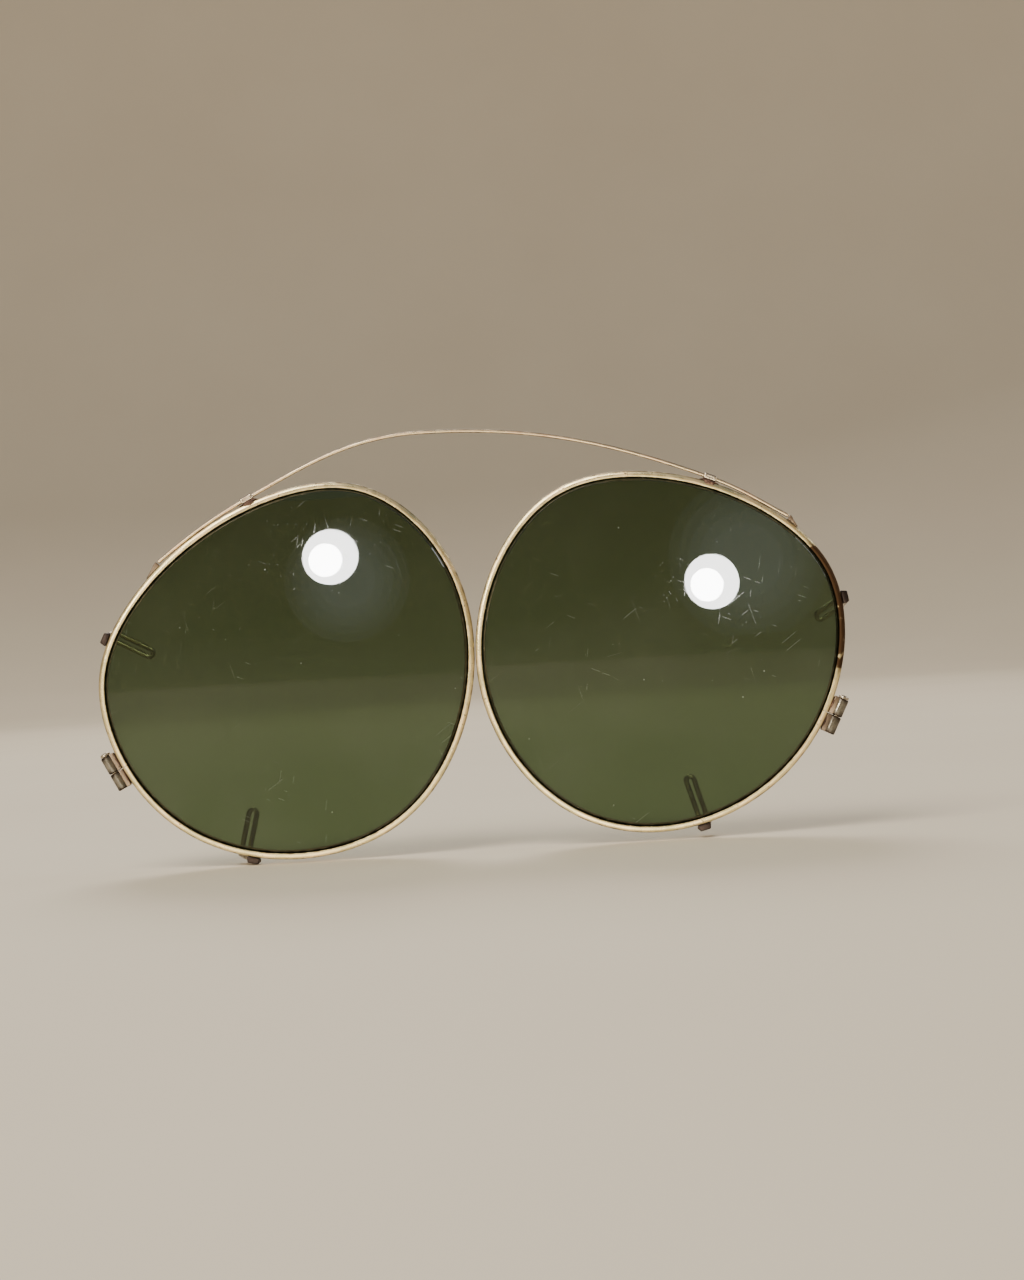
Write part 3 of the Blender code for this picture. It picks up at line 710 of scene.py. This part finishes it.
def make_hook(eye, label, hook, body, materials):
    """A hairpin of wire: back from the tab, round a bend, inwards, and round at the tip."""
    name = f"{eye.name}_{label}_hairpin"
    outset = RIM_FACE / 2 + SOLDER_GAP + TAB_SIZE[0] / 2 - HOOK_OUTER_TRIM
    start_z = -TAB_SIZE[2] / 2 - SOLDER_GAP
    end_z = -RIM_DEPTH / 2 - HOOK_CLEARANCE - HOOK_WIDTH + HOOK_WIRE_RADIUS + HOOK_BACK_TRIM
    lean = math.radians(hook.lean) * eye.side
    inwards = Vector((-math.cos(lean), -math.sin(lean), 0.0))
    across = Vector((-inwards.y, inwards.x, 0.0))
    root = Vector((outset, 0.0, start_z))
    bend_top = Vector((outset, hook.skew * eye.side, end_z + HOOK_BEND_RADIUS))
    centre = bend_top + inwards * HOOK_BEND_RADIUS
    back = Vector((0.0, 0.0, -HOOK_BEND_RADIUS))
    legs = [root.lerp(bend_top, k / 8) for k in range(8)]
    bend = arc_points(centre, -inwards * HOOK_BEND_RADIUS, back, math.pi / 2, 10)
    run = hook.reach + outset - HOOK_BEND_RADIUS - HOOK_HALF_SPACING
    tip_centre = centre + back + inwards * run
    straight = [bend[-1].lerp(tip_centre, k / 8) for k in range(1, 8)]
    strand = legs + bend + straight
    offset = across * HOOK_HALF_SPACING
    turn = arc_points(tip_centre, offset, inwards * HOOK_HALF_SPACING, math.pi, 18)
    path = [p + offset for p in strand] + turn + [p - offset for p in reversed(strand)]
    hairpin = tube(name, path, HOOK_WIRE_RADIUS * HOOK_TRIM)
    # painted shade on the sides of the hairpin that face along the rim, as dark outlines
    tarnish(hairpin, lambda vertex: 1.3 * abs(vertex.normal.y) - 0.55)
    at = rim_matrix(eye, hook.angle)
    piece = new_piece(name, hairpin, at, materials["hook"], body, "hook", f"{eye.name}_{label}_hook")
    drop_size = (0.8 * MM, 0.85 * MM, 0.55 * MM)
    for letter, side in (("b", -1), ("a", 1)):
        drop = blob(f"{name}_solder_{letter}", drop_size, waver=0.12, seed=side)
        drop_at = at @ Matrix.Translation(root + offset * side)
        new_piece(drop.name, drop, drop_at, materials["solder"], body, "solder")
    return piece


# ---------------------------------------------------------------- materials

def add(tree, kind, settings=(), **inputs):
    """A node with its settings, its input values and its input links. _ stands for a space."""
    made = tree.nodes.new(kind)
    for key, value in dict(settings).items():
        setattr(made, key, value)
    for key, value in inputs.items():
        socket = made.inputs[key.replace("_", " ")]
        if isinstance(value, bpy.types.NodeSocket):
            tree.links.new(value, socket)
        else:
            socket.default_value = value
    return made


def mix(tree, share, first, second):
    """A colour between two, each given as a socket or as three numbers."""
    made = tree.nodes.new("ShaderNodeMix")
    made.data_type = "RGBA"
    for socket, value in ((made.inputs[0], share), (made.inputs[6], first), (made.inputs[7], second)):
        if isinstance(value, bpy.types.NodeSocket):
            tree.links.new(value, socket)
        elif isinstance(value, tuple):
            socket.default_value = (*value, 1.0)
        else:
            socket.default_value = value
    return made.outputs[2]


def remap(tree, value, low, high, to_low=0.0, to_high=1.0):
    """A value cut off at low and high and spread over a new range."""
    made = add(tree, "ShaderNodeMapRange", Value=value, From_Min=low, From_Max=high,
               To_Min=to_low, To_Max=to_high)
    return made.outputs[0]


def math_node(tree, operation, first, second, clamp=True):
    """A calculation with two sockets or numbers. It stays between 0 and 1 unless clamp is off."""
    made = tree.nodes.new("ShaderNodeMath")
    made.operation = operation
    made.use_clamp = clamp
    for socket, value in zip(made.inputs, (first, second)):
        if isinstance(value, bpy.types.NodeSocket):
            tree.links.new(value, socket)
        else:
            socket.default_value = value
    return made.outputs[0]


def grain(tree, scale, detail, roughness=0.5):
    """Noise fixed to the piece, scale times per metre."""
    where = tree.nodes.new("ShaderNodeTexCoord").outputs["Object"]
    made = add(tree, "ShaderNodeTexNoise", Vector=where, Scale=scale, Detail=detail,
               Roughness=roughness)
    return made.outputs[0]


def new_material(name):
    material = bpy.data.materials.new(name)
    material.use_nodes = True
    return material, material.node_tree, material.node_tree.nodes["Principled BSDF"]


def bump(tree, shader, height, distance, strength):
    made = add(tree, "ShaderNodeBump", Height=height, Distance=distance, Strength=strength)
    tree.links.new(made.outputs[0], shader.inputs["Normal"])


def worn_metal(name, bright, worn, dark, shine, has_painted_shade=False, specks=0.5):
    """Polished metal with duller patches and dark specks, and painted shade, in blotches, where its points
    are marked.
    """
    material, tree, shader = new_material(name)
    patches = grain(tree, 420, 4.0)
    fine = grain(tree, 2600, 2.0)
    wear = remap(tree, patches, 0.5 - PATCH_CONTRAST / 2, 0.5 + PATCH_CONTRAST / 2)
    colour = mix(tree, wear, bright, worn)
    speck = remap(tree, fine, 0.70 - 0.12 * specks, 0.76 - 0.1 * specks)
    cover = math_node(tree, "MULTIPLY", speck, remap(tree, patches, 0.38, 0.58))
    if has_painted_shade:
        # the points marked for painted shade are painted dark, in blotches
        edge = add(tree, "ShaderNodeAttribute", {"attribute_name": "tarnish"}).outputs["Fac"]
        blotch = remap(tree, grain(tree, 900, 3.0), 0.3, 0.7, 0.35, 1.15)
        painted_shade_share = math_node(tree, "MULTIPLY", edge, blotch)
        cover = math_node(tree, "MAXIMUM", cover, painted_shade_share)
    tree.links.new(mix(tree, cover, colour, dark), shader.inputs["Base Color"])
    shader.inputs["Metallic"].default_value = 1.0
    rough = remap(tree, patches, 0.35, 0.65, shine, shine + 0.16)
    rough = math_node(tree, "ADD", rough, math_node(tree, "MULTIPLY", cover, 0.25))
    tree.links.new(rough, shader.inputs["Roughness"])
    bump(tree, shader, fine, 0.012 * MM, 0.5)
    return material


def vector_math(tree, operation, first, second=(0.0, 0.0, 0.0)):
    made = tree.nodes.new("ShaderNodeVectorMath")
    made.operation = operation
    tree.links.new(first, made.inputs[0])
    made.inputs[1].default_value = second
    return made.outputs[0]


def scratches(tree, turn, cell, share, width):
    """Straight hairlines on the lens: one, of any length, in a share of the cells of a turned grid."""
    where = tree.nodes.new("ShaderNodeTexCoord").outputs["Object"]
    turned_by = add(tree, "ShaderNodeVectorRotate", {"rotation_type": "Y_AXIS"}, Vector=where, Angle=turn)
    grid = vector_math(tree, "MULTIPLY", turned_by.outputs[0], (1 / cell[0], 0.0, 1 / cell[1]))
    chance = add(tree, "ShaderNodeTexWhiteNoise", Vector=vector_math(tree, "FLOOR", grid))
    inside = add(tree, "ShaderNodeSeparateXYZ", Vector=vector_math(tree, "FRACTION", grid)).outputs
    red, green, blue = add(tree, "ShaderNodeSeparateColor", Color=chance.outputs["Color"]).outputs
    along = math_node(tree, "SUBTRACT", inside["X"], 0.5, clamp=False)
    slant = remap(tree, red, 0.0, 1.0, -0.35, 0.35)
    height = math_node(tree, "MULTIPLY", along, slant, clamp=False)
    height = math_node(tree, "ADD", height, remap(tree, green, 0.0, 1.0, 0.3, 0.7))
    away = math_node(tree, "ABSOLUTE", math_node(tree, "SUBTRACT", inside["Z"], height, clamp=False), 0.0)
    line = remap(tree, away, 0.0, width / cell[1], 1.0, 0.0)
    reach = math_node(tree, "SUBTRACT", math_node(tree, "ABSOLUTE", along, 0.0),
                      remap(tree, blue, 0.0, 1.0, 0.12, 0.5), clamp=False)
    line = math_node(tree, "MULTIPLY", line, remap(tree, reach, -0.15, 0.0, 1.0, 0.0))
    kept = remap(tree, chance.outputs["Value"], 1 - share, 1.001 - share)
    return math_node(tree, "MULTIPLY", line, kept)


def dust(tree, spacing, radius, threshold):
    """Specks on the lens, in fewer areas the higher the threshold."""
    where = tree.nodes.new("ShaderNodeTexCoord").outputs["Object"]
    flat = vector_math(tree, "MULTIPLY", where, (1.0, 0.0, 1.0))
    cells = add(tree, "ShaderNodeTexVoronoi", Vector=flat, Scale=1 / spacing).outputs["Distance"]
    speck = remap(tree, cells, 0.5 * radius / spacing, radius / spacing, 1.0, 0.0)
    patch = remap(tree, grain(tree, 170, 2.0), 0.5 + threshold, 0.56 + threshold)
    return math_node(tree, "MULTIPLY", speck, patch)


def tinted_glass(name):
    """Green sunglass with wiping marks, fine scratches and specks of dust."""
    material, tree, shader = new_material(name)
    worn_areas = remap(tree, grain(tree, 75, 2.0), 0.44, 0.62, 0.15, 1.0)
    marks = []
    for turn, cell, share, width, strength in SCRATCHES:
        lines = math_node(tree, "MULTIPLY", scratches(tree, turn, cell, share, width), strength)
        marks.append(math_node(tree, "MULTIPLY", lines, worn_areas))
    for spacing, radius, threshold, strength in DUST:
        marks.append(math_node(tree, "MULTIPLY", dust(tree, spacing, radius, threshold), strength))
    haze = remap(tree, grain(tree, 60, 4.0, roughness=0.6), 0.45, 0.75, 0.0, 0.035)
    for mark in marks:
        haze = math_node(tree, "MAXIMUM", haze, mark)
    # the ground edge is painted near black and made less clear, as shade in the rim's groove
    ground = add(tree, "ShaderNodeAttribute", {"attribute_name": "tarnish"}).outputs["Fac"]
    colour = mix(tree, haze, GLASS_TINT, GLASS_HAZE)
    tree.links.new(mix(tree, ground, colour, GLASS_EDGE_PAINTED_SHADE), shader.inputs["Base Color"])
    matt = math_node(tree, "MAXIMUM", haze, remap(tree, ground, 0.0, 1.0, 0.0, 0.85))
    tree.links.new(remap(tree, matt, 0.0, 1.0, 1.0, 0.1), shader.inputs["Transmission Weight"])
    tree.links.new(remap(tree, haze, 0.0, 0.6, 0.012, 0.43), shader.inputs["Roughness"])
    shader.inputs["IOR"].default_value = 1.52
    return material


def make_materials():
    materials = {key: worn_metal(**metal) for key, metal in METALS.items()}
    materials["glass"] = tinted_glass("green_glass")
    return materials


# ---------------------------------------------------------------- floor, lights and camera

def make_floor():
    """A wide round floor whose edge sweeps up out of sight."""
    low, _ = CAD_BOX
    flat, bend, wall = 0.9, 0.5, 0.5
    profile = [(flat * k / 4, 0.0) for k in range(5)]
    for k in range(1, 13):
        t = math.pi / 2 * k / 12
        profile.append((flat + bend * math.sin(t), bend * (1 - math.cos(t))))
    profile.append((flat + bend, bend + wall))
    shape = bmesh.new()
    steps = 72
    rows = []
    for k in range(steps):
        t = TURN * k / steps
        rows.append([shape.verts.new((r * math.cos(t), r * math.sin(t), h)) for r, h in profile])
    for k in range(steps):
        for j in range(len(profile) - 1):
            shape.faces.new((rows[k - 1][j], rows[k][j], rows[k][j + 1], rows[k - 1][j + 1]))
    bmesh.ops.remove_doubles(shape, verts=shape.verts, dist=MM)
    mesh = finished_mesh("studio_floor", shape)
    material, tree, shader = new_material("pale_floor")
    cloudy = grain(tree, 9, 3.0)
    tree.links.new(mix(tree, cloudy, (0.68, 0.58, 0.44), (0.74, 0.65, 0.50)), shader.inputs["Base Color"])
    shader.inputs["Roughness"].default_value = 0.75
    bump(tree, shader, grain(tree, 1400, 2.0), 0.02 * MM, 0.4)
    mesh.materials.append(material)
    floor = bpy.data.objects.new("studio_floor", mesh)
    floor.location.z = low.z - FLOOR_GAP
    SCENE.collection.objects.link(floor)


def aim(item, target):
    way = Vector(target) - item.location
    item.rotation_mode = "QUATERNION"
    item.rotation_quaternion = way.to_track_quat("-Z", "Y")


def area_light(name, at, size, brightness, colour, target=(0.0, 0.0, 0.0), round_shape=False):
    """An area light of a given radiance, which doesn't depend on its size."""
    data = bpy.data.lights.new(name, "AREA")
    data.shape = "DISK" if round_shape else "SQUARE"
    data.size = size
    face = math.pi / 4 * size ** 2 if round_shape else size ** 2
    data.energy = brightness * math.pi * face
    data.color = colour
    light = bpy.data.objects.new(name, data)
    light.location = at
    SCENE.collection.objects.link(light)
    aim(light, target)
    light.visible_camera = False
    return light


def light_only(light, pieces, shadows_of_others=True):
    """The light reaches only these pieces. Other pieces can be kept from shading them."""
    group = bpy.data.collections.new(f"{light.name}_pieces")
    for piece in pieces:
        group.objects.link(piece)
    light.light_linking.receiver_collection = group
    if not shadows_of_others:
        light.light_linking.blocker_collection = group


def mirrored_disc(eye, lens, offset, camera_at, size, brightness, colour):
    """A round light that mirrors in the lens at an offset from its middle.

    Where two overlap, the smaller one hangs in front.
    """
    local = Vector((offset[0], offset[1], 0.0))
    local.z = dish(local)
    at = eye_matrix(eye) @ local
    facing = Vector((offset[0] / LENS_BASE_RADIUS, -1.0, offset[1] / LENS_BASE_RADIUS)).normalized()
    to_camera = (camera_at - at).normalized()
    way = (2 * facing.dot(to_camera) * facing - to_camera).normalized()
    spot = at + way * (MIRRORED_DISTANCE + 0.1 * size)
    disc = area_light(f"{lens.name}_disc_{size:.2f}", spot, size, brightness, colour, at, True)
    disc.visible_diffuse = False
    disc.visible_transmission = False
    light_only(disc, [lens])


def make_surroundings():
    world = bpy.data.worlds.new("soft_surroundings")
    world.use_nodes = True
    sky = world.node_tree.nodes["Background"]
    sky.inputs["Color"].default_value = (0.86, 0.92, 1.0, 1.0)
    sky.inputs["Strength"].default_value = 0.28
    SCENE.world = world


def make_softboxes(metal, hooks):
    """Three lights for everything, two that only the metal mirrors, and one that finds the hooks.

    Each has its place, width, brightness and colour.
    """
    area_light("key_softbox", (-0.35, -0.5, 0.75), 0.55, 8.5, (1.0, 0.95, 0.87))
    area_light("fill_softbox", (0.75, 0.05, 0.4), 0.3, 5.0, (0.92, 0.96, 1.0))
    area_light("back_softbox", (-0.1, 0.75, 0.65), 0.45, 8.0, (1.0, 0.97, 0.92))
    front = area_light("front_softbox", (-0.5, -0.62, 0.22), 0.26, 15.0, (1.0, 0.93, 0.78))
    bounce = area_light("bounce_from_below", (-0.12, -0.72, -0.36), 0.5, 15.0, (1.0, 0.95, 0.76))
    glint = area_light("hook_glint", (0.15, -0.6, 0.45), 0.12, 90.0, (1.0, 0.97, 0.90))
    light_only(front, metal)
    light_only(bounce, metal, shadows_of_others=False)
    light_only(glint, hooks, shadows_of_others=False)


def make_reflections(eye, lens, camera_at):
    """A lamp with a brighter bulb in it, and a veil of light that fades outwards in steps."""
    white = (1.0, 0.99, 0.96)
    cool = (0.80, 0.92, 1.0)
    seen = REFLECTIONS[eye.name]
    bulb = (seen.lamp[0] + BULB_OFFSET[0], seen.lamp[1] + BULB_OFFSET[1])
    mirrored_disc(eye, lens, seen.lamp, camera_at, LAMP_SIZE, 76.0, white)
    mirrored_disc(eye, lens, bulb, camera_at, BULB_SIZE, 200.0, white)
    for k in range(VEIL_DISCS):
        size = seen.veil_size * (1 - VEIL_STEP * k)
        mirrored_disc(eye, lens, seen.veil, camera_at, size, 0.17, cool)


def make_camera():
    data = bpy.data.cameras.new("camera")
    data.lens = CAMERA_LENS
    data.clip_start = 0.01
    data.clip_end = 10.0
    camera = bpy.data.objects.new("camera", data)
    SCENE.collection.objects.link(camera)
    place = Matrix.Translation((CAMERA_AT[0], -CAMERA_DISTANCE, CAMERA_AT[1]))
    roll = Matrix.Rotation(math.radians(CAMERA_ROLL), 4, "Y")
    camera.matrix_world = place @ roll @ Matrix.Rotation(math.pi / 2, 4, "X")
    SCENE.camera = camera
    return camera.matrix_world.translation.copy()


# ---------------------------------------------------------------- assembly

def make_eye(eye, materials):
    """Everything on one eye, with its half of the wire. Gives its lens and its hooks."""
    body = f"{eye.name}_eye"
    make_rim(eye, body, materials["gold"])
    lens = make_lens(eye, body, materials["glass"])
    for label in ("upper", "lower"):
        make_barrel(eye, label, body, materials["closing"])
        make_barrel_foot(eye, label, body, materials)
    make_closing_screw(eye, body, materials["screw"])
    make_wire(eye, materials["wire"])
    make_sleeve(eye, body, materials["sleeve"])
    make_sleeve_pad(eye, body, materials["solder"])
    make_wire_foot(eye, body, materials["foot"])
    hooks = []
    for label, hook in (("outer", eye.outer_hook), ("lower", eye.lower_hook)):
        make_hook_tab(eye, label, hook, body, materials["tab"])
        hooks.append(make_hook(eye, label, hook, body, materials))
    return lens, hooks


MATERIALS = make_materials()
LENSES = {}
HOOKS = []
for each_eye in EYES:
    LENSES[each_eye.name], its_hooks = make_eye(each_eye, MATERIALS)
    HOOKS += its_hooks
METAL = [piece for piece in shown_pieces() if piece not in LENSES.values()]

make_floor()
CAMERA_POINT = make_camera()
make_surroundings()
make_softboxes(METAL, HOOKS)
for each_eye in EYES:
    make_reflections(each_eye, LENSES[each_eye.name], CAMERA_POINT)
